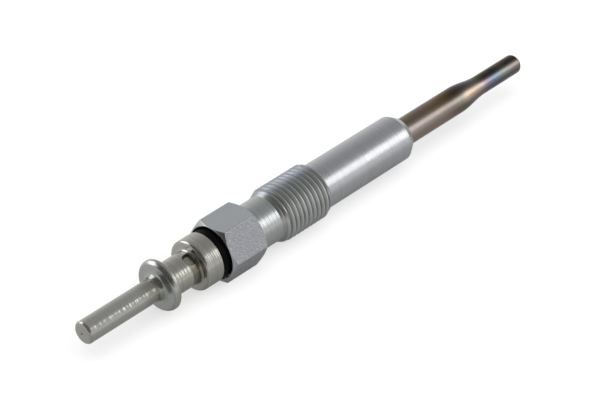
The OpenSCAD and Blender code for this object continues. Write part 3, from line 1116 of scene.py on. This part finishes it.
# What mirrored rays find round the part: walls by their height, and a dark corner
WALL_STOPS = [
    (0.0, (0.88, 0.88, 0.88)),
    (0.22, (0.72, 0.72, 0.72)),
    (0.56, (0.55, 0.55, 0.56)),
    (0.8, (0.33, 0.33, 0.34)),
]
CORNER_AT = (-0.52, -0.27, 0.81)
CORNER_EDGE = (0.5, 0.7)
CORNER_COLOR = (0.02, 0.02, 0.02)

LAMP_DISTANCE = 1.2

# Camera, as fitted to the photograph
AZIMUTH = math.radians(45.19)
ELEVATION = math.radians(34.36)
ROLL = math.radians(-2.85)
DISTANCE = 381.3 * MM
AIM = Vector((-24.15, 0, 0)) * MM
AIM_RIGHT = 0.13 * MM
AIM_UP = -0.2 * MM
PHOTO_WIDTH_PX = 597
FOCAL_PX = 2277.8
SENSOR_WIDTH = 36
CLIP_START = 0.01


def mirrored_rays(tree, path):
    """1 for rays that come by way of a glossy or a clear surface."""
    node = tree.nodes.new("ShaderNodeMath")
    node.operation = "MAXIMUM"
    tree.links.new(path.outputs["Is Glossy Ray"], node.inputs[0])
    tree.links.new(path.outputs["Is Transmission Ray"], node.inputs[1])
    return node.outputs["Value"]


def floor_glow(tree, path):
    """Share of plain white in the floor, which for mirrored rays dips along the part's front as a
    painted shadow.
    """
    seen = span(tree, path.outputs["Is Camera Ray"], (0, 1), (0, FLOOR_GLOW_SEEN))
    first = FLOOR_GLOW_MIRRORED[0][0]
    last = FLOOR_GLOW_MIRRORED[-1][0]
    across = span(tree, along(tree, "Y"), (first, last), (0, 1))
    stops = [((y - first) / (last - first), (glow,) * 3) for y, glow in FLOOR_GLOW_MIRRORED]
    total = tree.nodes.new("ShaderNodeMath")
    total.operation = "MULTIPLY_ADD"
    tree.links.new(mirrored_rays(tree, path), total.inputs[0])
    tree.links.new(ramp(tree, across, stops), total.inputs[1])
    tree.links.new(seen, total.inputs[2])
    return total.outputs["Value"]


def floor_material():
    """Matte floor with some plain white in it, so that it is white and still holds a shadow."""
    material = bpy.data.materials.new("white_floor")
    material.use_nodes = True
    tree = material.node_tree
    tree.nodes.clear()
    path = tree.nodes.new("ShaderNodeLightPath")
    matte = tree.nodes.new("ShaderNodeBsdfDiffuse")
    glow = tree.nodes.new("ShaderNodeEmission")
    mix = tree.nodes.new("ShaderNodeMixShader")
    output = tree.nodes.new("ShaderNodeOutputMaterial")
    color = blend(tree, path.outputs["Is Camera Ray"], FLOOR_UNSEEN, FLOOR_SEEN)
    tree.links.new(color, matte.inputs["Color"])
    tree.links.new(floor_glow(tree, path), mix.inputs["Fac"])
    tree.links.new(matte.outputs["BSDF"], mix.inputs[1])
    tree.links.new(glow.outputs["Emission"], mix.inputs[2])
    tree.links.new(mix.outputs["Shader"], output.inputs["Surface"])
    return material


def add_floor():
    bm = bmesh.new()
    bmesh.ops.create_grid(bm, x_segments=1, y_segments=1, size=FLOOR_SIZE / 2)
    mesh = bpy.data.meshes.new("floor")
    bm.to_mesh(mesh)
    bm.free()
    mesh.materials.append(floor_material())
    floor = bpy.data.objects.new("floor", mesh)
    floor.location.z = FLOOR_Z
    bpy.context.scene.collection.objects.link(floor)


def add_world():
    """White surround, in which mirrored rays find walls, a dimmer ceiling and a dark corner."""
    world = bpy.data.worlds.new("studio")
    bpy.context.scene.world = world
    world.use_nodes = True
    tree = world.node_tree
    direction = coordinates(tree, "Generated")
    walls = ramp(tree, toward(tree, direction, (0, 0, 1)), WALL_STOPS)
    corner = fade(tree, toward(tree, direction, CORNER_AT), *CORNER_EDGE)
    studio = blend(tree, corner, walls, CORNER_COLOR)
    fill = span(tree, toward(tree, direction, FILL_FROM), FILL_REACH, FILL_LEVELS, smooth=True)
    path = tree.nodes.new("ShaderNodeLightPath")
    plain = blend(tree, path.outputs["Is Camera Ray"], fill, (1, 1, 1))
    surround = blend(tree, mirrored_rays(tree, path), plain, studio)
    tree.links.new(surround, tree.nodes["Background"].inputs["Color"])


def add_softbox(name, direction, roll, width, height, radiance, lights_matte):
    """Lamp that is mirrored in shiny surfaces, and lights matte ones only if told to."""
    light = bpy.data.lights.new(name, "AREA")
    light.shape = "RECTANGLE"
    light.size = width
    light.size_y = height
    light.energy = math.pi * width * height * radiance
    lamp = bpy.data.objects.new(name, light)
    towards = Vector(direction).normalized()
    lamp.location = towards * LAMP_DISTANCE
    turn = Quaternion((0, 0, 1), math.radians(roll))
    lamp.rotation_euler = (towards.to_track_quat("Z", "Y") @ turn).to_euler()
    lamp.visible_diffuse = lights_matte
    bpy.context.scene.collection.objects.link(lamp)


def add_camera():
    """Camera at the photograph's angle, aimed close to the middle of the part."""
    back = Vector((
        -math.cos(AZIMUTH) * math.cos(ELEVATION),
        -math.sin(AZIMUTH) * math.cos(ELEVATION),
        math.sin(ELEVATION),
    ))
    level = Vector((0, 0, 1)).cross(back).normalized()
    upright = back.cross(level)
    right = math.cos(ROLL) * level + math.sin(ROLL) * upright
    up = math.cos(ROLL) * upright - math.sin(ROLL) * level
    data = bpy.data.cameras.new("camera")
    data.sensor_width = SENSOR_WIDTH
    data.lens = SENSOR_WIDTH * FOCAL_PX / PHOTO_WIDTH_PX
    data.clip_start = CLIP_START
    camera = bpy.data.objects.new("camera", data)
    turn = Matrix((right, up, back)).transposed().to_4x4()
    spot = AIM + right * AIM_RIGHT + up * AIM_UP + back * DISTANCE
    camera.matrix_world = Matrix.Translation(spot) @ turn
    bpy.context.scene.collection.objects.link(camera)
    bpy.context.scene.camera = camera


add_floor()
add_world()
add_softbox(
    "key", direction=(0.7444, -0.539, 0.394), roll=-12, width=0.74, height=0.56,
    radiance=1.9, lights_matte=True)
add_softbox(
    "back", direction=(-0.24, 0.83, 0.5), roll=0, width=1.1, height=0.76,
    radiance=2.2, lights_matte=False)
add_camera()
bpy.context.scene.view_settings.view_transform = "Standard"
